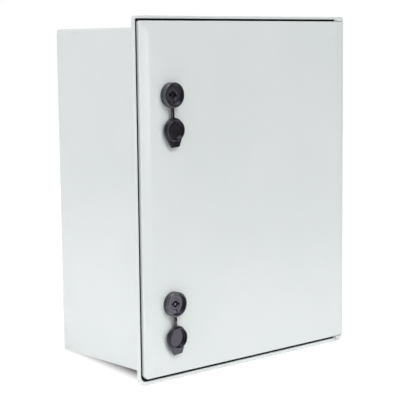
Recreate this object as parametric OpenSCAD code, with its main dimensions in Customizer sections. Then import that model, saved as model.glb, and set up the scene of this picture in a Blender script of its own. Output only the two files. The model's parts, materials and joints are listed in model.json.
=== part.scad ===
// Wall-mounted polyester enclosure: a deep moulded case with a hinged door, two quarter-turn locks with
// hanging dust caps, and a steel mounting plate inside.
// Millimetres. X runs to the hinge side, Y runs back towards the wall, Z runs up.
// The origin is the centre of the flat back face, so a depth "d" in front of the wall is at y = -d.

/* [Case] */
// Width across the outside of the case walls
body_w = 400; // [320:5:600]
// Height across the outside of the case walls
body_h = 500; // [440:5:700]
// Depth from the flat back to the front of the rim
body_d = 211; // [150:1:300]
// Thickness of the side walls
wall_t = 4; // [3:0.5:6]
// Thickness of the back wall
back_t = 5; // [4:0.5:8]
// Corner radius of the case walls
body_r = 4; // [3:0.5:8]
// Corner radius inside the case
cavity_r = 6; // [4:0.5:12]
// Rounding of the edges round the back
back_edge_r = 2.5; // [1:0.5:4]

/* [Rim] */
// How far the rim stands out beyond the case walls
rim_out = 16; // [14:0.5:24]
// Depth of the rim at its outer edge
rim_edge_t = 4.5; // [4:0.25:8]
// Size of the slope round the back of the rim
rim_slope = 2; // [1:0.25:4]
// How much deeper still the rim is where it meets the case wall
rim_root_t = 1; // [0.5:0.25:5]
// Corner radius of the rim at the top
rim_r = 5; // [4:0.5:8]
// Corner radius of the rim at the bottom
rim_low_r = 13; // [4:0.5:16]
// Thickness of the lip that stands round the door
lip_t = 3.8; // [2:0.1:5]
// Thickness of the lip along the bottom
lip_low_t = 5.2; // [2:0.1:6]
// Corner radius inside the lip at the top
lip_r = 2; // [1:0.5:5]
// Corner radius inside the lip at the bottom
lip_low_r = 10.5; // [1:0.5:12]
// Depth of the gutter between the lip and the case wall
gutter_d = 3.4; // [3:0.1:4]
// Height of the sealing edge above the gutter floor
seal_h = 1.8; // [1.5:0.1:2.2]

/* [Door] */
// Gap between the lip and the edge of the door at the top and both sides
door_gap = 3.2; // [2:0.1:5]
// Gap along the bottom of the door
door_gap_low = 4.4; // [3:0.1:6]
// How far the face of the door stands in front of the rim
door_proud = 6.1; // [5.5:0.1:10]
// Thickness of the door panel
door_t = 3.7; // [3:0.1:4]
// Thickness of the skirt round the door
skirt_t = 3; // [2:0.25:3.5]
// Corner radius of the door at the top
door_r = 3.5; // [3:0.5:12]
// Corner radius of the door at the bottom
door_low_r = 9; // [4:0.5:12]
// Width of the sloping border round the flat panel
border_w = 19.5; // [14:0.5:40]
// Angle at which the border falls away from the flat panel
border_angle = 6; // [2:0.5:8]
// Width of the flatter land between the border and the edge of the door
land_w = 7; // [5:0.5:10]
// Angle at which the land falls away towards the edge of the door
land_angle = 1.5; // [0.5:0.5:4]
// Rounding between the flat panel and its border
crease_r = 60; // [20:5:80]
// Rounding of the front edge of the door
door_edge_r = 2.5; // [1.5:0.25:3]
// Clearance between the skirt and the seal strip in the gutter
skirt_gap = 0.35; // [0.2:0.05:0.8]

/* [Seal] */
// Thickness of the black seal strip in the gutter of the rim
strip_t = 1.2; // [0.8:0.1:1.4]
// Clearance of the seal strip in the gutter
strip_play = 0.1; // [0.05:0.05:0.3]
// Width of the foamed gasket
gasket_w = 8; // [6:0.5:9]
// Clearance between the gasket and the sealing edge
gasket_gap = 0.3; // [0.2:0.05:0.5]
// Thickness of the ribs on both sides of the gasket
channel_t = 1.6; // [1:0.1:2]
// Height of the ribs on both sides of the gasket
channel_h = 2; // [1:0.1:2.5]

/* [Hinge] */
// Radius of the rounded edge of the door on its hinge side
hinge_r = 3.5; // [3.3:0.1:4.2]
// Diameter of the hinge pins
pin_d = 3; // [2.5:0.1:3.5]
// Length of each hinge pin
pin_len = 22; // [18:1:40]
// How deep the outer end of each pin lies below the end of its web
pin_sunk = 0.5; // [0.3:0.1:1.5]
// Wall of the plain bushes round the pins
bush_t = 0.75; // [0.6:0.05:0.9]
// Running clearance of the pins in the bushes, on the radius
pin_play = 0.05; // [0.02:0.01:0.1]
// Clearance between the door and the hinge webs
hinge_gap = 0.4; // [0.3:0.05:1]
// Length of the webs that carry the pins, from the outer edge of the rim
web_len = 20; // [18:0.5:30]
// Wall of the webs round the pins
knuckle_t = 1.7; // [1.5:0.1:2]

/* [Locks] */
// Distance from the ends of the door to the lock axes
lock_end = 105.6; // [90:0.2:130]
// Distance from the edge of the door to the lock axes
lock_inset = 53.6; // [45:0.1:70]
// Diameter of the lock collars
collar_d = 36.5; // [34:0.5:44]
// How far the collars stand in front of the door
collar_h = 10.5; // [9.5:0.1:14]
// Wall of the collars round the key recess
collar_wall = 2.25; // [1.5:0.05:3]
// Depth of the key recess in the collars, down to the seat of the barrel flange
recess_h = 5.5; // [4.8:0.1:6]
// Rounding of the front edge of the collars
collar_edge_r = 1.1; // [0.5:0.1:1.5]
// Thickness of the barrel flange that holds the collar down
flange_t = 0.8; // [0.6:0.1:0.9]
// Diameter of the threaded lock barrels
barrel_d = 22; // [21:0.5:24]
// Length of the barrels behind the face of the door
barrel_len = 22; // [18:0.5:26]
// Diameter of the lock cores
core_d = 17; // [15:0.5:18]
// Diameter of the tails of the lock cores
tail_d = 13; // [11:0.5:14]
// How deep the face of the cores lies in the collars
core_sunk = 4.5; // [4.2:0.1:4.6]
// Diameter of the key holes
key_d = 10.2; // [8:0.2:11]
// Width across the two bits of the key holes
key_span = 14; // [11:0.5:14.5]
// Thickness of the bits of the key holes
key_bit_t = 3.4; // [2:0.2:4]
// Diameter of the pins in the key holes
key_pin_d = 4; // [2:0.5:5]
// Depth of the key holes
key_depth = 8; // [6:0.5:8]
// Angle of the index notch below the cores
notch_turn = 12; // [0:1:30]
// Running clearance of the cores, on the radius
core_play = 0.05; // [0.02:0.01:0.1]
// Wall of the lock nuts at their flats
nut_wall = 2.5; // [2:0.25:5]
// Thickness of the lock nuts
nut_t = 7; // [5:0.5:8]

/* [Cams] */
// Thickness of the cams
cam_t = 3; // [2:0.5:4]
// Width of the cams
cam_w = 16; // [14:0.5:20]
// Square hole of the cams
cam_square = 8; // [7:0.5:8.5]
// Clearance between the tip of a locked cam and the case wall
cam_tip_gap = 3.6; // [2:0.1:6]
// Clearance in front of a locked cam
cam_gap = 0.5; // [0.3:0.05:1]
// Width of the catch blocks behind which the cams turn
catch_w = 11; // [9:0.5:14]
// Height of the catches
catch_h = 36; // [26:1:50]
// Thickness of the catches
catch_t = 8; // [5:0.5:9]
// Thread diameter of the cam screws
cam_screw_d = 5; // [4:0.5:6]

/* [Dust caps] */
// Diameter of the cap discs
cap_d = 36; // [34:0.5:44]
// Thickness of the cap discs
cap_t = 2.5; // [1.5:0.1:3]
// Height of the plug rings in the caps
cap_ring_h = 5; // [4.3:0.1:5]
// Thickness of the plug rings
cap_ring_t = 1.7; // [1.2:0.1:3]
// Clearance of the plug rings in the collars, on the radius
cap_play = 0.35; // [0.3:0.05:0.6]
// Distance from a lock axis down to the middle of its hanging cap
cap_drop = 50.4; // [46:0.2:60]
// Angle at which a cap hangs askew on its strap
cap_swing = 5; // [0:1:8]
// How far a hanging cap stays off the door
cap_off = 4; // [3:0.1:5]
// Width of the pull tab at its end
tab_w = 15; // [10:0.5:20]
// Length of the pull tab beyond the disc
tab_len = 7; // [4:0.5:12]
// Width of the straps
strap_w = 5.6; // [4:0.2:8]
// Thickness of the straps
strap_t = 1.8; // [1.2:0.1:2]

/* [Mounting plate] */
// Thickness of the mounting plate
plate_t = 2; // [1.5:0.5:4]
// Clearance between the mounting plate and the case walls
plate_margin = 20; // [18:1:40]
// Height of the bosses under the mounting plate
boss_h = 18; // [16:1:30]
// Diameter of the bosses
boss_d = 16; // [14:0.5:20]
// Distance from the edges of the plate to its screws
plate_screw_inset = 16; // [12:1:30]
// Thread diameter of the plate screws
plate_screw_d = 6; // [5:0.5:6]
// Length of the plate screws under the head
plate_screw_len = 14; // [12:1:15]
// Outer diameter of the brass inserts
insert_d = 9; // [8:0.5:10]
// Length of the brass inserts
insert_len = 12; // [10:0.5:14]

/* [Wall fixing] */
// Diameter of the four holes in the back
wall_hole_d = 8.5; // [6:0.5:9]
// Distance from the inside of the walls to the hole centres
wall_hole_inset = 10; // [9:0.5:12]
// Diameter of the pads round the holes
wall_pad_d = 16; // [14:0.5:18]
// Height of the pads
wall_pad_h = 2; // [1:0.5:4]

/* [Hidden] */
$fn = 64;
grp_grey = [0.80, 0.82, 0.82];
lock_black = [0.09, 0.09, 0.10];
soft_black = [0.12, 0.12, 0.13];
foam_grey = [0.25, 0.25, 0.26];
zinc = [0.70, 0.72, 0.74];
brass = [0.78, 0.62, 0.30];

// Overlap that joins solids of one piece
join = 0.5;
// Overlap of a cutter beyond the face that it cuts
cut = 1;

// Case and rim
rim_w = body_w + 2 * rim_out;
rim_h = body_h + 2 * rim_out;
gutter_w = rim_w - 2 * lip_t;
gutter_h = rim_h - lip_t - lip_low_t;
gutter_z = (lip_low_t - lip_t) / 2;
cavity_w = body_w - 2 * wall_t;
cavity_h = body_h - 2 * wall_t;
gutter_floor = body_d - gutter_d;
seal_top = gutter_floor + seal_h;

// Door
door_w = rim_w - 2 * (lip_t + door_gap);
door_h = gutter_h - door_gap - door_gap_low;
door_z = gutter_z + (door_gap_low - door_gap) / 2;
door_face = body_d + door_proud;
door_inner = door_face - door_t;
skirt_back = gutter_floor + strip_t + skirt_gap;
gasket_top = seal_top + gasket_gap;
gasket_mid = rim_out + wall_t / 2;

// Distance from the middle of the case to the upper (1) or lower (-1) end of the door
function door_end(side) = door_h / 2 + side * door_z;

// Hinge axis: the rounded edge of the door turns just clear of the seal strip
hinge_x = door_w / 2 - hinge_r;
hinge_front = skirt_back + hinge_r;
bush_r = pin_d / 2 + pin_play + bush_t;
bush_floor = 1;
pin_end_gap = 0.3;
knuckle_r = pin_d / 2 + knuckle_t;
hinge_boss_more = 4;
function web_start(side) = door_end(side) + hinge_gap;
function web_end(side) = gutter_h / 2 + side * gutter_z + join;
function pin_top(side) = web_end(side) - pin_sunk;
function bush_end(side) = pin_top(side) - pin_len - pin_end_gap - bush_floor;

// Locks, measured forwards from the face of the door
lock_x = -door_w / 2 + lock_inset;
function lock_z(side) = side * (door_end(side) - lock_end);
recess_r = collar_d / 2 - collar_wall;
recess_floor = collar_h - recess_h;
flange_out = 2.6;
flange_r = barrel_d / 2 + flange_out;
flange_face = recess_floor + flange_t;
core_face = collar_h - core_sunk;
core_step = -door_t;
strap_back = 3.6;
strap_front = strap_back + strap_t;
groove_play = 0.1;
groove_r = recess_r + 0.9;
seal_ring_t = 1.2;
seal_ring_in = barrel_d / 2 + 0.8;
seal_ring_out = barrel_d / 2 + 3.9;
seal_play = 0.1;
thread_play = 0.05;
hole_play = 0.15;
nut_af = barrel_d + 2 * nut_wall;
cam_front = -barrel_len - cam_gap;
cam_back = cam_front - cam_t;
cam_reach = lock_x + cavity_w / 2 - cam_tip_gap;
cam_hole_play = 0.05;
cam_head_d = 2.2 * cam_screw_d;
cam_head_t = 0.6 * cam_screw_d;
cam_screw_len = 10;
catch_back = door_face + cam_front + cam_gap;

// Dust caps
cap_inner = cap_off + cap_t;
cap_ring_r = recess_r - cap_play;
neck_len = 2;
neck_drop = cap_drop - cap_d / 2 - neck_len;
strap_end_gap = 0.6;

// Mounting plate
plate_w = cavity_w - 2 * plate_margin;
plate_h = cavity_h - 2 * plate_margin;
plate_r = 6;
plate_back = back_t + boss_h;
plate_pitch_w = plate_w - 2 * plate_screw_inset;
plate_pitch_h = plate_h - 2 * plate_screw_inset;
washer_t = 1.6;
washer_d = 2.4 * plate_screw_d;
screw_head_d = 1.9 * plate_screw_d;
screw_head_t = 0.65 * plate_screw_d;
screw_play = 0.05;
plate_hole_play = 0.3;

// Wall holes
wall_pitch_w = cavity_w - 2 * wall_hole_inset;
wall_pitch_h = cavity_h - 2 * wall_hole_inset;

// Outline in the X-Z plane, extruded forwards from depth d0
module forwards(d0, depth) {
    rotate([90, 0, 0]) translate([0, 0, d0]) linear_extrude(depth) children();
}

// Section with x across and y forwards, extruded along Z
module along_z(height) {
    rotate([180, 0, 0]) linear_extrude(height, center = true) children();
}

// Section with x upwards and y forwards, extruded along X
module along_x(width) {
    rotate(a = 180, v = [1, 0, 1]) linear_extrude(width, center = true) children();
}

// Profile with x as the radius and y forwards, turned about the Y axis
module turned() {
    rotate([90, 0, 0]) rotate_extrude() children();
}

// One section swept round all four sides; the section reads its width from $span
module all_round(width, height) {
    intersection() {
        along_z(height) let ($span = width) children();
        along_x(width) let ($span = height) children();
    }
}

// Rectangle with round corners; the lower corners can have a radius of their own
module rounded(w, h, r, low_r = 0) {
    low = low_r > 0 ? low_r : r;
    translate([-w / 2, low - h / 2]) square([w, h - r - low]);
    translate([r - w / 2, 0]) square([w - 2 * r, h / 2]);
    translate([low - w / 2, -h / 2]) square([w - 2 * low, h / 2 + join]);
    for (sx = [-1, 1]) {
        translate([sx * (w / 2 - r), h / 2 - r]) circle(r);
        translate([sx * (w / 2 - low), low - h / 2]) circle(low);
    }
}

// Four places at the corners of a rectangle, seen from the front
module at_corners(w, h) {
    for (sx = [-1, 1], sz = [-1, 1]) translate([sx * w / 2, 0, sz * h / 2]) children();
}

module rod(r, d0, d1) {
    rotate([90, 0, 0]) translate([0, 0, d0]) cylinder(r = r, h = d1 - d0);
}

module at_lock(side) {
    translate([lock_x, -door_face, lock_z(side)]) children();
}

// Case: walls with rounded back edges
module wall_section() {
    translate([-$span / 2, back_edge_r]) square([$span, seal_top - back_edge_r]);
    translate([-$span / 2 + back_edge_r, 0]) square([$span - 2 * back_edge_r, seal_top]);
    for (s = [-1, 1]) translate([s * ($span / 2 - back_edge_r), back_edge_r]) circle(back_edge_r);
}

// Case: the rim is thicker towards the wall
module rim_section() {
    half = $span / 2;
    edge_back = body_d - rim_edge_t;
    slope_back = edge_back - rim_slope;
    root_back = slope_back - rim_root_t;
    polygon([
        [-half, body_d], [half, body_d], [half, edge_back], [half - rim_slope, slope_back],
        [half - rim_out, root_back], [-half + rim_out, root_back], [-half + rim_slope, slope_back],
        [-half, edge_back]
    ]);
}

module rim() {
    difference() {
        intersection() {
            all_round(rim_w, rim_h) rim_section();
            forwards(0, body_d + cut) rounded(rim_w, rim_h, rim_r, rim_low_r);
        }
        translate([0, 0, gutter_z]) forwards(gutter_floor, gutter_d + cut)
            rounded(gutter_w, gutter_h, lip_r, lip_low_r);
    }
}

module walls() {
    intersection() {
        all_round(body_w, body_h) wall_section();
        forwards(0, body_d) rounded(body_w, body_h, body_r);
    }
}

// A web closes the gutter at each corner on the hinge side and carries the pin in front of the rim
module hinge_web(side) {
    web_h = web_end(side) - web_start(side);
    web_w = web_len - lip_t + join;
    mirror([0, 0, side < 0 ? 1 : 0]) translate([0, 0, web_start(side)]) {
        translate([rim_w / 2 - web_len, -body_d, 0]) cube([web_w, body_d - gutter_floor + join, web_h]);
        translate([hinge_x, -hinge_front, 0]) cylinder(r = knuckle_r, h = web_h);
        translate([rim_w / 2 - web_len, -hinge_front - knuckle_r, 0])
            cube([hinge_x - rim_w / 2 + web_len, hinge_front + knuckle_r - body_d + join, web_h]);
        translate([hinge_x, -hinge_front, 0]) cube([knuckle_r, hinge_front - body_d + join, web_h]);
    }
}

// A catch block is bonded to the wall at each lock; its front is a ramp
module catch_section() {
    polygon([
        [0, catch_back], [catch_w, catch_back], [catch_w, catch_back + catch_t / 2],
        [catch_w / 2, catch_back + catch_t], [0, catch_back + catch_t]
    ]);
}

module lock_catch(side) color(grp_grey) {
    translate([-cavity_w / 2, 0, lock_z(side)]) along_z(catch_h) catch_section();
}

module case_body() color(grp_grey) {
    difference() {
        union() {
            difference() {
                union() {
                    rim();
                    walls();
                }
                forwards(back_t, body_d) rounded(cavity_w, cavity_h, cavity_r);
            }
            intersection() {
                for (side = [-1, 1]) hinge_web(side);
                forwards(0, 2 * body_d) rounded(rim_w, rim_h, rim_r, rim_low_r);
            }
            at_corners(plate_pitch_w, plate_pitch_h) rod(boss_d / 2, back_t - join, plate_back);
            at_corners(wall_pitch_w, wall_pitch_h) rod(wall_pad_d / 2, back_t - join, back_t + wall_pad_h);
        }
        at_corners(plate_pitch_w, plate_pitch_h) rod(insert_d / 2, plate_back - insert_len, plate_back + cut);
        at_corners(wall_pitch_w, wall_pitch_h) rod(wall_hole_d / 2, -cut, back_t + wall_pad_h + cut);
        for (side = [-1, 1]) hinge_bore(side, pin_d / 2, door_end(side), web_end(side) + cut);
    }
}

// Seal strip: lies in the gutter between the lip and the case wall, clear of the hinge webs
module rim_seal() color(soft_black) difference() {
    forwards(gutter_floor, strip_t) difference() {
        translate([0, gutter_z])
            rounded(
                gutter_w - 2 * strip_play, gutter_h - 2 * strip_play,
                lip_r - strip_play, lip_low_r - strip_play
            );
        rounded(body_w + 2 * strip_play, body_h + 2 * strip_play, body_r + strip_play);
    }
    for (side = [-1, 1]) mirror([0, 0, side < 0 ? 1 : 0])
        translate([rim_w / 2 - web_len - strip_play, -body_d, web_start(side) - strip_play])
            cube([web_len, body_d, rim_out]);
}

// A cylinder on the hinge axis between two heights
module hinge_bore(side, r, z0, z1) {
    mirror([0, 0, side < 0 ? 1 : 0]) translate([hinge_x, -hinge_front, z0]) cylinder(r = r, h = z1 - z0);
}

// Door: flat panel, sloping border with a soft crease, flatter land and rounded front edge
module door_section() {
    half = $span / 2;
    flat = half - border_w;
    slope_x = flat + crease_r * sin(border_angle);
    slope_y = door_face - crease_r * (1 - cos(border_angle));
    land_x = half - land_w;
    land_y = slope_y - (land_x - slope_x) * tan(border_angle);
    edge_x = half - door_edge_r;
    edge_y = land_y - (edge_x - land_x) * tan(land_angle) - door_edge_r / cos(land_angle);
    translate([-flat, skirt_back]) square([2 * flat, door_face - skirt_back]);
    for (s = [0, 1]) mirror([s, 0]) {
        intersection() {
            translate([flat, door_face - crease_r]) circle(crease_r, $fn = 720);
            translate([flat - join, skirt_back]) square([slope_x - flat + join, door_face]);
        }
        polygon([
            [flat - join, skirt_back], [flat - join, slope_y], [slope_x, slope_y], [land_x, land_y],
            [edge_x + door_edge_r * sin(land_angle), edge_y + door_edge_r * cos(land_angle)],
            [edge_x, edge_y], [edge_x, skirt_back]
        ]);
        translate([edge_x, edge_y]) circle(door_edge_r);
        translate([edge_x - join, skirt_back]) square([door_edge_r + join, edge_y - skirt_back]);
    }
}

// The edge on the hinge side is round about the hinge axis
module hinge_edge_section() {
    translate([-door_w, 0]) square([door_w + hinge_x, 2 * door_face]);
    translate([hinge_x, hinge_front]) circle(hinge_r);
}

module door_outer() {
    translate([0, 0, door_z]) intersection() {
        all_round(door_w, door_h) door_section();
        forwards(0, 2 * door_face) rounded(door_w, door_h, door_r, door_low_r);
        along_z(door_h) hinge_edge_section();
    }
}

// A frame of the given width, centred on the sealing edge
module seal_frame(width) {
    outer_w = rim_w - 2 * gasket_mid + width;
    outer_h = rim_h - 2 * gasket_mid + width;
    outer_r = cavity_r + width / 2;
    difference() {
        rounded(outer_w, outer_h, outer_r);
        rounded(outer_w - 2 * width, outer_h - 2 * width, outer_r - width);
    }
}

module door() color(grp_grey) {
    difference() {
        union() {
            difference() {
                door_outer();
                translate([0, 0, door_z]) forwards(skirt_back - cut, door_inner - skirt_back + cut)
                    rounded(
                        door_w - 2 * skirt_t, door_h - 2 * skirt_t,
                        door_r - skirt_t / 2, door_low_r - skirt_t / 2
                    );
            }
            forwards(door_inner - channel_h, channel_h + join) difference() {
                seal_frame(gasket_w + 2 * channel_t);
                seal_frame(gasket_w);
            }
            intersection() {
                door_outer();
                for (side = [-1, 1])
                    hinge_bore(side, hinge_r, bush_end(side) - hinge_boss_more, door_end(side));
            }
        }
        for (side = [-1, 1]) {
            hinge_bore(side, bush_r, bush_end(side), door_end(side) + cut);
            at_lock(side) rod(barrel_d / 2 + hole_play, -door_t - cut, cut);
        }
    }
}

module door_gasket() color(foam_grey) {
    forwards(gasket_top, door_inner - gasket_top) seal_frame(gasket_w);
}

module hinge_pin(side) color(zinc) {
    hinge_bore(side, pin_d / 2, pin_top(side) - pin_len, pin_top(side));
}

module hinge_bush(side) color(soft_black) {
    difference() {
        hinge_bore(side, bush_r, bush_end(side), door_end(side));
        hinge_bore(side, pin_d / 2 + pin_play, bush_end(side) + bush_floor, door_end(side) + cut);
    }
}

module mounting_plate() color(zinc) {
    difference() {
        forwards(plate_back, plate_t) rounded(plate_w, plate_h, plate_r);
        at_corners(plate_pitch_w, plate_pitch_h)
            rod(plate_screw_d / 2 + plate_hole_play, plate_back - cut, plate_back + plate_t + cut);
    }
}

module plate_inserts() color(brass) {
    at_corners(plate_pitch_w, plate_pitch_h) difference() {
        rod(insert_d / 2, plate_back - insert_len, plate_back);
        rod(plate_screw_d / 2 + screw_play, plate_back - insert_len + 1, plate_back + cut);
    }
}

module plate_washers() color(zinc) {
    at_corners(plate_pitch_w, plate_pitch_h) difference() {
        rod(washer_d / 2, plate_back + plate_t, plate_back + plate_t + washer_t);
        rod(plate_screw_d / 2 + plate_hole_play, plate_back, plate_back + plate_t + washer_t + cut);
    }
}

module plate_screws() color(zinc) {
    seat = plate_back + plate_t + washer_t;
    at_corners(plate_pitch_w, plate_pitch_h) difference() {
        union() {
            rod(plate_screw_d / 2, seat - plate_screw_len, seat + join);
            rod(screw_head_d / 2, seat, seat + screw_head_t);
        }
        translate([0, -seat - screw_head_t, 0]) cross_recess(plate_screw_d);
    }
}

// Cross recess in the top of a screw head that faces forwards
module cross_recess(size) {
    slot_t = size / 6;
    for (a = [0, 90]) rotate([0, a, 0])
        translate([-size / 2, -cut, -slot_t / 2]) cube([size, size / 3 + cut, slot_t]);
}

// Lock collar: ring on the face of the door, with the key recess and the groove for the strap
module collar_profile() {
    r = collar_d / 2;
    difference() {
        union() {
            square([r, collar_h - collar_edge_r]);
            square([r - collar_edge_r, collar_h]);
            translate([r - collar_edge_r, collar_h - collar_edge_r]) circle(collar_edge_r);
        }
        translate([0, recess_floor]) square([recess_r, recess_h + cut]);
        translate([0, -cut]) square([barrel_d / 2 + hole_play, collar_h]);
        translate([groove_r, strap_back - groove_play]) square([r, strap_t + 2 * groove_play]);
        translate([seal_ring_in, -cut]) square([seal_ring_out - seal_ring_in, seal_ring_t + cut]);
    }
}

module lock_collar(side) color(lock_black) at_lock(side) turned() collar_profile();

// Lock barrel: threaded tube with a thin flange that holds the collar on the door
module barrel_profile() {
    difference() {
        union() {
            translate([0, -barrel_len]) square([barrel_d / 2, barrel_len + flange_face]);
            translate([0, recess_floor]) square([flange_r, flange_t]);
        }
        translate([0, core_step]) square([core_d / 2 + core_play, collar_h]);
        translate([0, -barrel_len - cut]) square([tail_d / 2 + core_play, barrel_len + cut]);
    }
}

module lock_barrel(side) color(lock_black) at_lock(side) {
    notch_w = 2.2;
    notch_edge = 1.15;
    notch_l = flange_r - notch_edge - core_d / 2 - core_play;
    notch_h = 2.2;
    difference() {
        turned() barrel_profile();
        rotate([0, -notch_turn, 0])
            translate([-notch_w / 2, -flange_face - cut, -core_d / 2 - core_play - notch_l])
                cube([notch_w, notch_h + cut, notch_l + join]);
    }
}

module lock_seal(side) color(soft_black) at_lock(side) difference() {
    rod(seal_ring_out - seal_play, 0, seal_ring_t);
    rod(seal_ring_in + seal_play, -cut, seal_ring_t + cut);
}

module lock_nut(side) color(lock_black) at_lock(side) difference() {
    rotate([90, 0, 0]) translate([0, 0, -door_t - nut_t])
        cylinder(d = nut_af / cos(30), h = nut_t, $fn = 6);
    rod(barrel_d / 2 + thread_play, -door_t - nut_t - cut, -door_t + cut);
}

// Lock core: raised ring on its face, key hole with two bits and a pin, square end for the cam
module lock_core(side) color(lock_black) at_lock(side) {
    ring_t = 1.1;
    ring_h = 0.8;
    step_gap = 0.1;
    pin_low = 1;
    difference() {
        union() {
            rod(core_d / 2, core_step + step_gap, core_face);
            rod(tail_d / 2, cam_front, core_step + step_gap + join);
            translate([-cam_square / 2, -cam_front - join, -cam_square / 2])
                cube([cam_square, cam_t + join, cam_square]);
        }
        rod(core_d / 2 - ring_t, core_face - ring_h, core_face + cut);
        rod(key_d / 2, core_face - key_depth, core_face + cut);
        translate([-key_span / 2, -core_face - cut, -key_bit_t / 2])
            cube([key_span, key_depth + cut, key_bit_t]);
        rod(cam_screw_d / 2 + screw_play, cam_back - cut, cam_back + cam_screw_len);
    }
    rod(key_pin_d / 2, core_face - key_depth - join, core_face - pin_low);
}

// Cam: hangs down when the lock is open
module lock_cam(side) color(zinc) at_lock(side) difference() {
    tip_r = 4;
    hub_d = cam_square * sqrt(2) + 6;
    forwards(cam_back, cam_t) {
        circle(d = hub_d);
        translate([-cam_w / 2, -cam_reach + tip_r]) square([cam_w, cam_reach - tip_r]);
        translate([0, -cam_reach / 2]) rounded(cam_w, cam_reach, tip_r);
    }
    side_hole = cam_square + 2 * cam_hole_play;
    translate([-side_hole / 2, -cam_front - cut, -side_hole / 2])
        cube([side_hole, cam_t + 2 * cut, side_hole]);
}

module cam_screw(side) color(zinc) at_lock(side) difference() {
    union() {
        rod(cam_head_d / 2, cam_back - cam_head_t, cam_back);
        rod(cam_screw_d / 2, cam_back - join, cam_back + cam_screw_len - 1);
    }
    translate([0, cam_head_t - cam_back, 0]) rotate([0, 0, 180]) cross_recess(cam_screw_d);
}

// Place of the middle of a cap that hangs askew on its neck
module hanging() {
    translate([0, 0, -neck_drop]) rotate([0, -cap_swing, 0])
        translate([0, 0, neck_drop - cap_drop]) children();
}

// Dust cap hanging open, its hollow side to the front
module cap_outline() {
    r = cap_d / 2;
    tab_end = r + tab_len;
    // The sides of the tab are tangents of the disc
    lean = acos(r / sqrt(tab_end * tab_end + tab_w * tab_w / 4)) + atan(tab_w / 2 / tab_end);
    circle(r);
    polygon([
        [-r * sin(lean), -r * cos(lean)], [-tab_w / 2, -tab_end],
        [tab_w / 2, -tab_end], [r * sin(lean), -r * cos(lean)], [0, 0]
    ]);
    translate([-strap_w / 2, 0]) square([strap_w, r + neck_len]);
}

module dust_cap(side) color(soft_black) at_lock(side) hanging() {
    forwards(cap_off, cap_t) cap_outline();
    difference() {
        rod(cap_ring_r, cap_inner - join, cap_inner + cap_ring_h);
        rod(cap_ring_r - cap_ring_t, cap_inner - 2 * join, cap_inner + cap_ring_h + cut);
    }
}

// Strap: a ring in the groove of the collar and a tongue down to the cap
module cap_strap(side) color(soft_black) at_lock(side) {
    ring_in = groove_r + groove_play;
    tongue_top = -(ring_in + collar_d / 2) / 2;
    tongue_low = strap_end_gap - neck_drop;
    bend = (tongue_top + tongue_low) / 2;
    low_back = cap_off + (cap_t - strap_t) / 2;
    difference() {
        rod(collar_d / 2, strap_back, strap_front);
        rod(ring_in, strap_back - cut, strap_front + cut);
    }
    along_x(strap_w) polygon([
        [tongue_top, strap_back], [-collar_d / 2 - 1, strap_back], [bend, low_back], [tongue_low, low_back],
        [tongue_low, low_back + strap_t], [bend, low_back + strap_t], [-collar_d / 2 - 1, strap_front],
        [tongue_top, strap_front]
    ]);
}

case_body();
rim_seal();
lock_catch(1);  // upper_lock_catch
lock_catch(-1);  // lower_lock_catch
door();
door_gasket();
hinge_pin(1);  // upper_hinge_pin
hinge_pin(-1);  // lower_hinge_pin
hinge_bush(1);  // upper_hinge_bush
hinge_bush(-1);  // lower_hinge_bush
mounting_plate();
plate_screws();
plate_washers();
plate_inserts();
lock_collar(1);  // upper_lock_collar
lock_barrel(1);  // upper_lock_barrel
lock_seal(1);  // upper_lock_seal
lock_nut(1);  // upper_lock_nut
lock_core(1);  // upper_lock_core
lock_cam(1);  // upper_lock_cam
cam_screw(1);  // upper_cam_screw
dust_cap(1);  // upper_dust_cap
cap_strap(1);  // upper_cap_strap
lock_collar(-1);  // lower_lock_collar
lock_barrel(-1);  // lower_lock_barrel
lock_seal(-1);  // lower_lock_seal
lock_nut(-1);  // lower_lock_nut
lock_core(-1);  // lower_lock_core
lock_cam(-1);  // lower_lock_cam
cam_screw(-1);  // lower_cam_screw
dust_cap(-1);  // lower_dust_cap
cap_strap(-1);  // lower_cap_strap
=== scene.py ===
import json
import math

import bmesh
import bpy
from mathutils import Matrix, Vector


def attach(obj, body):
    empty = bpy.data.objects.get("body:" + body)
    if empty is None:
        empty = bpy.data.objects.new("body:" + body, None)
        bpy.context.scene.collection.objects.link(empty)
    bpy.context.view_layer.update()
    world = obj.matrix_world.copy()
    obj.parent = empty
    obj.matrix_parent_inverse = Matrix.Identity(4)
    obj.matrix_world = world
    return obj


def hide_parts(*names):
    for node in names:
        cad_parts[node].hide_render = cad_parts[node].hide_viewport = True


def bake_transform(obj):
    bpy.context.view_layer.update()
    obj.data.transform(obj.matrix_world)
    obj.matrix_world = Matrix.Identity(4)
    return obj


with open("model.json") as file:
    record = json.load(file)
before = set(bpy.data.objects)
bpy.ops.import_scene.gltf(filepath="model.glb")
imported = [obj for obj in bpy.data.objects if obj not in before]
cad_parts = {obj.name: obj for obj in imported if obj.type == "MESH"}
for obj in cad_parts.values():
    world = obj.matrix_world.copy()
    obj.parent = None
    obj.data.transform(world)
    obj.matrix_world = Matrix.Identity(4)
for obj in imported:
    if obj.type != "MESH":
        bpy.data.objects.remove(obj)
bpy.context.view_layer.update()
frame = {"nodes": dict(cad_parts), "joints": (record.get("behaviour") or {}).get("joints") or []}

scene = bpy.context.scene
scene.view_settings.view_transform = "Standard"


# Node trees

# The colour sockets of a Mix node, which has several sockets of each name
MIX_A, MIX_B, MIX_RESULT = 6, 7, 2

# Spreads of a texture's values: all of them, nearly all, and the middle ones
WHOLE = (0.0, 1.0)
BROAD = (0.3, 0.7)
MIDDLE = (0.35, 0.65)


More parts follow.
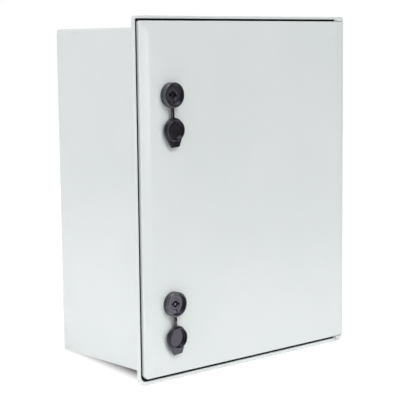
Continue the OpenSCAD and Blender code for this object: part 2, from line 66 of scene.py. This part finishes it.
class Graph:
    """Short calls for the nodes of a material or the world."""

    def __init__(self, tree):
        self.tree = tree

    def new(self, kind):
        return self.tree.nodes.new(kind)

    def link(self, source, target):
        self.tree.links.new(source, target)

    def feed(self, node, *values):
        """Put numbers, vectors or other nodes' outputs into a node's inputs, in their order."""
        for socket, value in zip(node.inputs, values):
            if isinstance(value, bpy.types.NodeSocket):
                self.link(value, socket)
            else:
                socket.default_value = value

    def calc(self, operation, *values):
        node = self.new("ShaderNodeMath")
        node.operation = operation
        self.feed(node, *values)
        return node.outputs["Value"]

    def vector(self, operation, *values):
        node = self.new("ShaderNodeVectorMath")
        node.operation = operation
        self.feed(node, *values)
        return node.outputs["Value" if operation in ("LENGTH", "DOT_PRODUCT") else "Vector"]

    def fit(self, value, spread, to_spread, curve="LINEAR"):
        """Stretch a spread of values to another one."""
        node = self.new("ShaderNodeMapRange")
        node.interpolation_type = curve
        for name, end in zip(("From Min", "From Max", "To Min", "To Max"), spread + to_spread):
            node.inputs[name].default_value = end
        self.link(value, node.inputs["Value"])
        return node.outputs["Result"]

    def mix(self, share, a, b):
        """A colour between two others."""
        node = self.new("ShaderNodeMix")
        node.data_type = "RGBA"
        self.link(share, node.inputs["Factor"])
        node.inputs[MIX_A].default_value = a
        node.inputs[MIX_B].default_value = b
        return node.outputs[MIX_RESULT]


class Finish(Graph):
    """A material with a Principled shader, and calls for what varies over its surface."""

    def __init__(self, name, **fixed):
        self.material = bpy.data.materials.new(name)
        self.material.use_nodes = True
        super().__init__(self.material.node_tree)
        self.shader = self.tree.nodes["Principled BSDF"]
        self.place = self.new("ShaderNodeTexCoord").outputs["Object"]
        for socket, value in fixed.items():
            self.shader.inputs[socket.replace("_", " ")].default_value = value

    def stretched(self, scale):
        node = self.new("ShaderNodeMapping")
        node.inputs["Scale"].default_value = scale
        self.link(self.place, node.inputs["Vector"])
        return node.outputs["Vector"]

    def noise(self, scale, detail=2.0, rough=0.5, place=None):
        node = self.new("ShaderNodeTexNoise")
        node.inputs["Scale"].default_value = scale
        node.inputs["Detail"].default_value = detail
        node.inputs["Roughness"].default_value = rough
        self.link(place or self.place, node.inputs["Vector"])
        return node.outputs["Fac"]

    def cells(self, scale):
        node = self.new("ShaderNodeTexVoronoi")
        node.inputs["Scale"].default_value = scale
        self.link(self.place, node.inputs["Vector"])
        return node.outputs

    def blend(self, a, b, share):
        """Two values in one, with the first one's share."""
        return self.calc("MULTIPLY_ADD", b, 1.0 - share, self.calc("MULTIPLY", a, share))

    def colour(self, value, spread, dark, light):
        shade = self.mix(self.fit(value, spread, WHOLE), dark, light)
        self.link(shade, self.shader.inputs["Base Color"])

    def gloss(self, value, spread, smooth, coarse):
        self.link(self.fit(value, spread, (smooth, coarse)), self.shader.inputs["Roughness"])

    def relief(self, height, depth, strength):
        node = self.new("ShaderNodeBump")
        node.inputs["Distance"].default_value = depth
        node.inputs["Strength"].default_value = strength
        self.link(height, node.inputs["Height"])
        self.link(node.outputs["Normal"], self.shader.inputs["Normal"])


# Materials

def linear(r, g, b):
    """An sRGB colour of 0 to 255 as linear RGBA."""
    def one(c):
        c /= 255.0
        return c / 12.92 if c <= 0.04045 else ((c + 0.055) / 1.055) ** 2.4
    return (one(r), one(g), one(b), 1.0)


def grey_polyester():
    finish = Finish("grey_polyester", Specular_IOR_Level=0.5)
    cloud = finish.noise(scale=7.0, detail=3.0)
    fibre = finish.noise(scale=420.0, detail=3.0, rough=0.6)
    grain = finish.noise(scale=1900.0)
    tone = finish.blend(cloud, fibre, share=0.6)
    finish.colour(tone, MIDDLE, dark=linear(212, 217, 217), light=linear(217, 221, 221))
    finish.gloss(finish.blend(cloud, grain, share=0.5), BROAD, smooth=0.20, coarse=0.28)
    finish.relief(finish.blend(fibre, grain, share=0.55), depth=0.00004, strength=0.15)
    return finish.material


def black_moulding(name, detail, cloud_scale, grain_scale, dark, light, smooth, coarse, specular):
    bluish = (0.84, 0.86, 1.0, 1.0)
    finish = Finish(name, Specular_IOR_Level=specular, Specular_Tint=bluish)
    cloud = finish.noise(cloud_scale, detail)
    grain = finish.noise(grain_scale, detail)
    finish.colour(cloud, MIDDLE, dark, light)
    finish.gloss(finish.blend(cloud, grain, share=0.5), BROAD, smooth, coarse)
    finish.relief(grain, depth=0.00002, strength=0.15)
    return finish.material


def black_plastic():
    return black_moulding(
        "black_plastic", detail=2.0, cloud_scale=120.0, grain_scale=3200.0,
        dark=linear(38, 37, 41), light=linear(46, 45, 49), smooth=0.16, coarse=0.24, specular=1.0)


def black_rubber():
    return black_moulding(
        "black_rubber", detail=3.0, cloud_scale=90.0, grain_scale=2600.0,
        dark=linear(16, 14, 17), light=linear(23, 21, 25), smooth=0.17, coarse=0.26, specular=0.74)


def black_seal():
    finish = Finish("black_seal", Specular_IOR_Level=0.2)
    grain = finish.noise(scale=1800.0)
    cloud = finish.noise(scale=40.0)
    finish.colour(cloud, MIDDLE, dark=linear(20, 20, 21), light=linear(28, 28, 30))
    finish.gloss(grain, BROAD, smooth=0.75, coarse=0.9)
    finish.relief(grain, depth=0.0001, strength=0.4)
    return finish.material


def grey_foam():
    finish = Finish("grey_foam", Specular_IOR_Level=0.25)
    pores = finish.cells(scale=1500.0)["Distance"]
    cloud = finish.noise(scale=60.0)
    tone = finish.blend(pores, cloud, share=0.6)
    tone_spread = (0.2, 0.7)
    finish.colour(tone, tone_spread, dark=linear(62, 62, 64), light=linear(88, 88, 90))
    finish.gloss(cloud, BROAD, smooth=0.78, coarse=0.92)
    finish.relief(pores, depth=0.0002, strength=0.6)
    return finish.material


def bearing_plastic():
    finish = Finish("bearing_plastic")
    grain = finish.noise(scale=2200.0)
    cloud = finish.noise(scale=200.0)
    finish.colour(cloud, MIDDLE, dark=linear(52, 52, 54), light=linear(64, 64, 66))
    finish.gloss(grain, BROAD, smooth=0.36, coarse=0.48)
    finish.relief(grain, depth=0.00004, strength=0.3)
    return finish.material


def galvanised_steel():
    finish = Finish("galvanised_steel", Metallic=1.0)
    spangle = finish.new("ShaderNodeSeparateColor")
    finish.link(finish.cells(scale=130.0)["Color"], spangle.inputs["Color"])
    fine = finish.noise(scale=700.0)
    shade, sheen, height = (spangle.outputs[name] for name in ("Red", "Green", "Blue"))
    finish.colour(shade, WHOLE, dark=linear(184, 188, 191), light=linear(204, 207, 209))
    finish.gloss(finish.blend(sheen, fine, share=0.7), WHOLE, smooth=0.34, coarse=0.48)
    finish.relief(finish.blend(height, fine, share=0.4), depth=0.00004, strength=0.3)
    return finish.material


def worked_metal(name, dark, light, stretch):
    """Metal with fine lines, drawn out along the axis that has a small stretch."""
    finish = Finish(name, Metallic=1.0)
    lines = finish.noise(scale=600.0, place=finish.stretched(stretch))
    cloud = finish.noise(scale=80.0)
    finish.colour(finish.blend(lines, cloud, share=0.6), BROAD, dark, light)
    finish.gloss(lines, BROAD, smooth=0.26, coarse=0.44)
    finish.relief(lines, depth=0.00003, strength=0.35)
    return finish.material


GREY = grey_polyester()
PLASTIC = black_plastic()
RUBBER = black_rubber()
SEAL = black_seal()
FOAM = grey_foam()
BUSH = bearing_plastic()
PLATE = galvanised_steel()
ZINC = worked_metal("zinc_steel", linear(182, 186, 190), linear(212, 214, 214), stretch=(1.0, 0.08, 1.0))
PIN = worked_metal("stainless_steel", linear(188, 189, 190), linear(214, 214, 214), stretch=(1.0, 1.0, 0.06))
BRASS = worked_metal("turned_brass", linear(192, 158, 92), linear(222, 192, 126), stretch=(1.0, 0.1, 1.0))


# Pieces from the solids

SAME_POINT = 3e-6  # corners of triangles that are nearer than this are one
SAME_FLAT = math.radians(0.4)  # triangles that turn less than this are one flat face
SHARP = math.radians(32.0)  # edges that turn more than this are rounded
LEVEL = 1e-4  # a part of a face's normal that is less than this is none


def add(name, bm, material, body=None, nodes=()):
    mesh = bpy.data.meshes.new(name)
    bm.to_mesh(mesh)
    bm.free()
    obj = bpy.data.objects.new(name, mesh)
    scene.collection.objects.link(obj)
    mesh.materials.append(material)
    if nodes:
        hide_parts(*nodes)
    if body:
        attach(obj, body)
    return obj


def turns(edge, limit):
    """Whether two faces meet at an edge and turn by more than a limit there."""
    return len(edge.link_faces) == 2 and edge.calc_face_angle(0.0) > limit


def mitred(edge):
    """Whether an edge joins an upright side to a level side, as at the corners of the door's border."""
    a, b = (f.normal for f in edge.link_faces)
    return (max(abs(a.x), abs(b.z)) < LEVEL < min(abs(a.z), abs(b.x))
            or max(abs(a.z), abs(b.x)) < LEVEL < min(abs(a.x), abs(b.z)))


def shade(bm, limit):
    """Shade smoothly across all edges but sharp and mitred ones."""
    for face in bm.faces:
        face.smooth = True
    for edge in bm.edges:
        edge.smooth = len(edge.link_faces) == 2 and not turns(edge, limit) and not mitred(edge)


def eased(node, body, material, width, segments=2, only=None):
    """A copy of a solid with its triangles joined into flat faces and its sharp edges rounded."""
    bm = bmesh.new()
    bm.from_mesh(frame["nodes"][node].data)
    bmesh.ops.remove_doubles(bm, verts=bm.verts, dist=SAME_POINT)
    bmesh.ops.dissolve_limit(bm, angle_limit=SAME_FLAT, verts=bm.verts, edges=bm.edges)
    sharp = [e for e in bm.edges if turns(e, SHARP)]
    if only:
        sharp = [e for e in sharp if all(only(v.co) for v in e.verts)]
    bmesh.ops.bevel(bm, geom=sharp, offset=width, offset_type="OFFSET", segments=segments, profile=0.5,
                    affect="EDGES", clamp_overlap=False, loop_slide=True)
    shade(bm, SHARP)
    obj = add(node + "_skin", bm, material, body, (node,))
    normals = obj.modifiers.new("normals", "WEIGHTED_NORMAL")
    normals.keep_sharp = True


def plain(node, material):
    """A solid that keeps its own mesh and takes a better material."""
    data = frame["nodes"][node].data
    data.materials.clear()
    data.materials.append(material)


def lock_place(side):
    """The point where the axis of a lock meets the face of the door."""
    return next(joint["pos_m"] for joint in frame["joints"] if joint["name"] == side + "_lock_turn")


def on_core_ring(side):
    """A test for points on the front edges of the raised ring of a lock core."""
    ring_height, ring_bore, near = 0.006, 0.0073, 2e-5
    lock_x, face, lock_z = lock_place(side)

    def test(point):
        in_front = abs(point.y - (face - ring_height)) < near
        return in_front and math.hypot(point.x - lock_x, point.z - lock_z) > ring_bore
    return test


plain("door_gasket", FOAM)
plain("rim_seal", SEAL)
plain("plate_inserts", BRASS)
eased("case_body", "case", GREY, width=0.0005, segments=3)
eased("door", "door", GREY, width=0.0003)
eased("mounting_plate", "case", PLATE, width=0.0003)
eased("plate_screws", "case", ZINC, width=0.0002)
eased("plate_washers", "case", ZINC, width=0.0002)
for side in ("upper", "lower"):
    plain(side + "_hinge_pin", PIN)
    plain(side + "_hinge_bush", BUSH)
    plain(side + "_lock_seal", RUBBER)
    eased(side + "_lock_core", side + "_lock", PLASTIC, width=0.00045, segments=4,
          only=on_core_ring(side))
    eased(side + "_lock_catch", "case", GREY, width=0.0008, segments=3)
    eased(side + "_lock_collar", "door", PLASTIC, width=0.00025)
    eased(side + "_lock_barrel", "door", PLASTIC, width=0.00015)
    eased(side + "_lock_nut", "door", PLASTIC, width=0.0004)
    eased(side + "_lock_cam", side + "_lock", ZINC, width=0.0003)
    eased(side + "_cam_screw", side + "_lock", ZINC, width=0.0002)
    eased(side + "_dust_cap", side + "_cap", RUBBER, width=0.0007, segments=4)


# Straps: a ring in the groove of the collar, and a tongue that bends between the door and the cap

# Heights are measured from the face of the door, and drops from the axis of the lock.
STRAP_BACK, STRAP_FRONT = 0.0036, 0.0054
RING_IN, RING_OUT, RING_SOFT = 0.0170, 0.01825, 0.0003
RING_STEPS = 96
TONGUE_HALF_WIDTH, TONGUE_HALF_THICK, TONGUE_SOFT = 0.0028, 0.0009, 0.0005
TONGUE_TOP, TONGUE_LOW = -0.0175, -0.0303
TONGUE_STEPS = 28
CORNER_STEPS = 3
CAP_HEIGHT = 0.00525  # middle of the tongue where it meets the cap
RISE_START, RISE_LENGTH = 0.16, 0.5  # where the tongue rises to that height, as shares of its length
CAP_SWING = math.radians(5.0)
STRAP_SHARP = math.radians(40.0)


def bridge(bm, loops, closed):
    """Faces between each loop of points and the next one, and back to the first if closed."""
    count = len(loops)
    for i in range(count if closed else count - 1):
        a, b = loops[i], loops[(i + 1) % count]
        for j in range(len(a)):
            k = (j + 1) % len(a)
            bm.faces.new((a[j], a[k], b[k], b[j]))


def strap_ring(bm, point):
    soft_out, soft_back, soft_front = RING_OUT - RING_SOFT, STRAP_BACK + RING_SOFT, STRAP_FRONT - RING_SOFT
    section = ((RING_IN, STRAP_BACK), (soft_out, STRAP_BACK), (RING_OUT, soft_back),
               (RING_OUT, soft_front), (soft_out, STRAP_FRONT), (RING_IN, STRAP_FRONT))
    loops = []
    for i in range(RING_STEPS):
        angle = 2.0 * math.pi * i / RING_STEPS
        loops.append([point(r * math.sin(angle), height, r * math.cos(angle)) for r, height in section])
    bridge(bm, loops, True)


def tongue_section():
    """The rounded section of the tongue: points across it and through its thickness."""
    section = []
    for across, through, start in ((1, 1, 0), (-1, 1, 90), (-1, -1, 180), (1, -1, 270)):
        for step in range(CORNER_STEPS + 1):
            angle = math.radians(start + 90.0 / CORNER_STEPS * step)
            section.append((across * (TONGUE_HALF_WIDTH - TONGUE_SOFT) + TONGUE_SOFT * math.cos(angle),
                            through * (TONGUE_HALF_THICK - TONGUE_SOFT) + TONGUE_SOFT * math.sin(angle)))
    return section


def strap_tongue(bm, point):
    ring_height = (STRAP_BACK + STRAP_FRONT) / 2
    rise, drop = CAP_HEIGHT - ring_height, TONGUE_LOW - TONGUE_TOP
    section = tongue_section()
    loops = []
    for i in range(TONGUE_STEPS + 1):
        along = i / TONGUE_STEPS
        share = min(1.0, max(0.0, (along - RISE_START) / RISE_LENGTH))
        height = ring_height + rise * share * share * (3.0 - 2.0 * share)
        lean = math.atan(6.0 * share * (1.0 - share) / RISE_LENGTH * rise / drop)
        turn = CAP_SWING * along * along
        level = TONGUE_TOP + drop * along
        loops.append([
            point(across * math.cos(turn), height + through * math.cos(lean),
                  level + across * math.sin(turn) - through * math.sin(lean))
            for across, through in section])
    bridge(bm, loops, False)
    bm.faces.new(loops[0])
    bm.faces.new(loops[-1])


def strap(side):
    lock_x, face, lock_z = lock_place(side)
    bm = bmesh.new()

    def point(x, height, z):
        return bm.verts.new((lock_x + x, face - height, lock_z + z))

    strap_ring(bm, point)
    strap_tongue(bm, point)
    bmesh.ops.recalc_face_normals(bm, faces=bm.faces)
    shade(bm, STRAP_SHARP)
    obj = add(side + "_cap_strap_skin", bm, RUBBER, None, (side + "_cap_strap",))
    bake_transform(obj)


strap("upper")
strap("lower")


# Floor

# The case leans back: it stands on the front of its rim and on the lower edge of its back.
RIM_FOOT = Vector((0.0, -0.2105, -0.266))
BACK_FOOT = Vector((0.0, -0.0015, -0.2493))
FLOOR_SIZE = 4.6
FLOOR_PLAY = Vector((0.0, 0.0, 0.0003))

# What the floor throws back as light, and the darker colour the camera sees of it: painted shade that
# deepens the real shadow near the case
BOUNCE = (0.87, 0.87, 0.87, 1.0)
PAINTED_SHADOW_TONE = (0.13, 0.13, 0.13, 1.0)

# Painted shadow: the camera's white glow on the floor fades out towards the outline of the foot, so the
# floor there shows dark
FOOT_HALF = (0.200, 0.105, 0.0)
PAINTED_SHADOW_EDGE = (-0.036, 0.01)  # from full shadow to white, measured from the outline of the foot
MIRRORED = (0.5, 2.2)  # from white to none in glossy surfaces, measured from the middle of the foot


def floor_material():
    """A floor that is white to the camera, with a painted shadow close to the case on top of its real
    shadow.
    """
    material = bpy.data.materials.new("floor_white")
    material.use_nodes = True
    graph = Graph(material.node_tree)
    graph.tree.nodes.clear()
    rays = graph.new("ShaderNodeLightPath").outputs
    place = graph.new("ShaderNodeTexCoord").outputs["Object"]

    matte = graph.new("ShaderNodeBsdfDiffuse")
    # Painted shade: to the camera the floor is much darker than the light it throws back, which deepens the
    # real shadow under the case
    graph.link(graph.mix(rays["Is Camera Ray"], BOUNCE, PAINTED_SHADOW_TONE), matte.inputs["Color"])

    # The distance from the outline of the foot is negative below the case. Within and just outside the
    # outline the white glow is held off, which paints the shadow there.
    sides = graph.new("ShaderNodeSeparateXYZ")
    graph.feed(sides, graph.vector("SUBTRACT", graph.vector("ABSOLUTE", place), FOOT_HALF))
    distance = graph.calc("MAXIMUM", sides.outputs["X"], sides.outputs["Y"])
    white = graph.fit(distance, PAINTED_SHADOW_EDGE, (0.0, 1.0), "SMOOTHSTEP")
    seen = graph.calc("MULTIPLY", white, rays["Is Camera Ray"])
    near = graph.fit(graph.vector("LENGTH", place), MIRRORED, (1.0, 0.0), "SMOOTHSTEP")
    glow = graph.new("ShaderNodeEmission")
    graph.link(graph.calc("MULTIPLY_ADD", near, rays["Is Glossy Ray"], seen), glow.inputs["Strength"])
    lit = graph.new("ShaderNodeAddShader")
    graph.feed(lit, matte.outputs["BSDF"], glow.outputs["Emission"])

    # Seen from below, the floor lets the view through.
    below = graph.new("ShaderNodeNewGeometry").outputs["Backfacing"]
    clear = graph.new("ShaderNodeBsdfTransparent").outputs["BSDF"]
    sided = graph.new("ShaderNodeMixShader")
    graph.feed(sided, below, lit.outputs["Shader"], clear)
    graph.link(sided.outputs["Shader"], graph.new("ShaderNodeOutputMaterial").inputs["Surface"])
    return material


bpy.ops.mesh.primitive_plane_add(size=FLOOR_SIZE)
floor = bpy.context.object
floor.name = "floor"
floor.rotation_euler = (math.atan2(BACK_FOOT.z - RIM_FOOT.z, BACK_FOOT.y - RIM_FOOT.y), 0.0, 0.0)
floor.location = (RIM_FOOT + BACK_FOOT) / 2 - FLOOR_PLAY
floor.data.materials.append(floor_material())


# Light

WHITE = (1.0, 1.0, 1.0, 1.0)

# Each lobe of light has a direction, a narrowness and a strength.
LEFT = ((-1.0, 0.1, 0.25), 2.0, 1.67)
KEY = ((0.04, -0.72, 0.69), 30.0, 10.9)
FRONT = ((0.0, -1.0, 0.1), 2.0, 0.1)
BEHIND = ((1.0, 0.9, 0.3), 2.0, 0.5)
BACKDROP = ((-0.2, 0.8, 0.5), 2.0, 0.7)


def world_light(lobes, backdrop):
    """A soft dome of lobes of light.

    The camera sees plain white behind the object, and glossy surfaces see a pale backdrop there.
    """
    world = bpy.data.worlds.new("studio")
    scene.world = world
    world.use_nodes = True
    graph = Graph(world.node_tree)
    graph.tree.nodes.clear()
    rays = graph.new("ShaderNodeLightPath").outputs
    outwards = graph.new("ShaderNodeTexCoord").outputs["Generated"]

    def lobe(direction, narrowness, strength):
        towards = graph.vector("DOT_PRODUCT", outwards, Vector(direction).normalized())
        front = graph.calc("MAXIMUM", towards, 0.0)
        return graph.calc("MULTIPLY", graph.calc("POWER", front, narrowness), strength)

    total = graph.calc("MULTIPLY", lobe(*backdrop), rays["Is Glossy Ray"])
    for one in lobes:
        total = graph.calc("ADD", total, lobe(*one))
    light = graph.new("ShaderNodeBackground")
    graph.feed(light, WHITE, total)
    white = graph.new("ShaderNodeBackground")
    graph.feed(white, WHITE, 1.0)
    mix = graph.new("ShaderNodeMixShader")
    graph.feed(mix, rays["Is Camera Ray"], light.outputs["Background"], white.outputs["Background"])
    graph.link(mix.outputs["Shader"], graph.new("ShaderNodeOutputWorld").inputs["Surface"])


def soft_light(name, place, target, size, power):
    data = bpy.data.lights.new(name, "AREA")
    data.shape = "RECTANGLE"
    data.size, data.size_y = size
    data.energy = power
    lamp = bpy.data.objects.new(name, data)
    scene.collection.objects.link(lamp)
    lamp.location = place
    lamp.rotation_mode = "QUATERNION"
    lamp.rotation_quaternion = (Vector(target) - Vector(place)).to_track_quat("-Z", "Y")


world_light([LEFT, KEY, FRONT, BEHIND], BACKDROP)
# The strip shines back to the camera from the sloping border on the left of the door.
soft_light("strip", place=(0.97, -2.5, 0.12), target=(-0.2, -0.2, 0.1), size=(0.25, 0.7), power=4.2)
soft_light("low_left", place=(-0.62, -0.12, -0.22), target=(-0.2, -0.12, -0.22), size=(0.7, 0.08), power=0.3)


# Camera, fitted to the straight edges in the photograph

CAMERA_PLACE = Vector((-1.313, -1.608, 0.2245))
YAW, PITCH, ROLL = (math.radians(degrees) for degrees in (41.07, 7.03, -0.64))
FOCAL_PIXELS, PHOTO_PIXELS, SENSOR = 1259.6, 400.0, 36.0


def place_camera():
    ahead = Vector((math.sin(YAW) * math.cos(PITCH), math.cos(YAW) * math.cos(PITCH), -math.sin(PITCH)))
    level = Vector((math.cos(YAW), -math.sin(YAW), 0.0))
    above = level.cross(ahead)
    right = level * math.cos(ROLL) + above * math.sin(ROLL)
    up = above * math.cos(ROLL) - level * math.sin(ROLL)
    turn = Matrix((right, up, -ahead)).transposed()
    data = bpy.data.cameras.new("camera")
    data.sensor_width = SENSOR
    data.lens = FOCAL_PIXELS / PHOTO_PIXELS * SENSOR
    data.clip_start, data.clip_end = 0.05, 60.0
    camera = bpy.data.objects.new("camera", data)
    scene.collection.objects.link(camera)
    camera.matrix_world = Matrix.Translation(CAMERA_PLACE) @ turn.to_4x4()
    scene.camera = camera


place_camera()
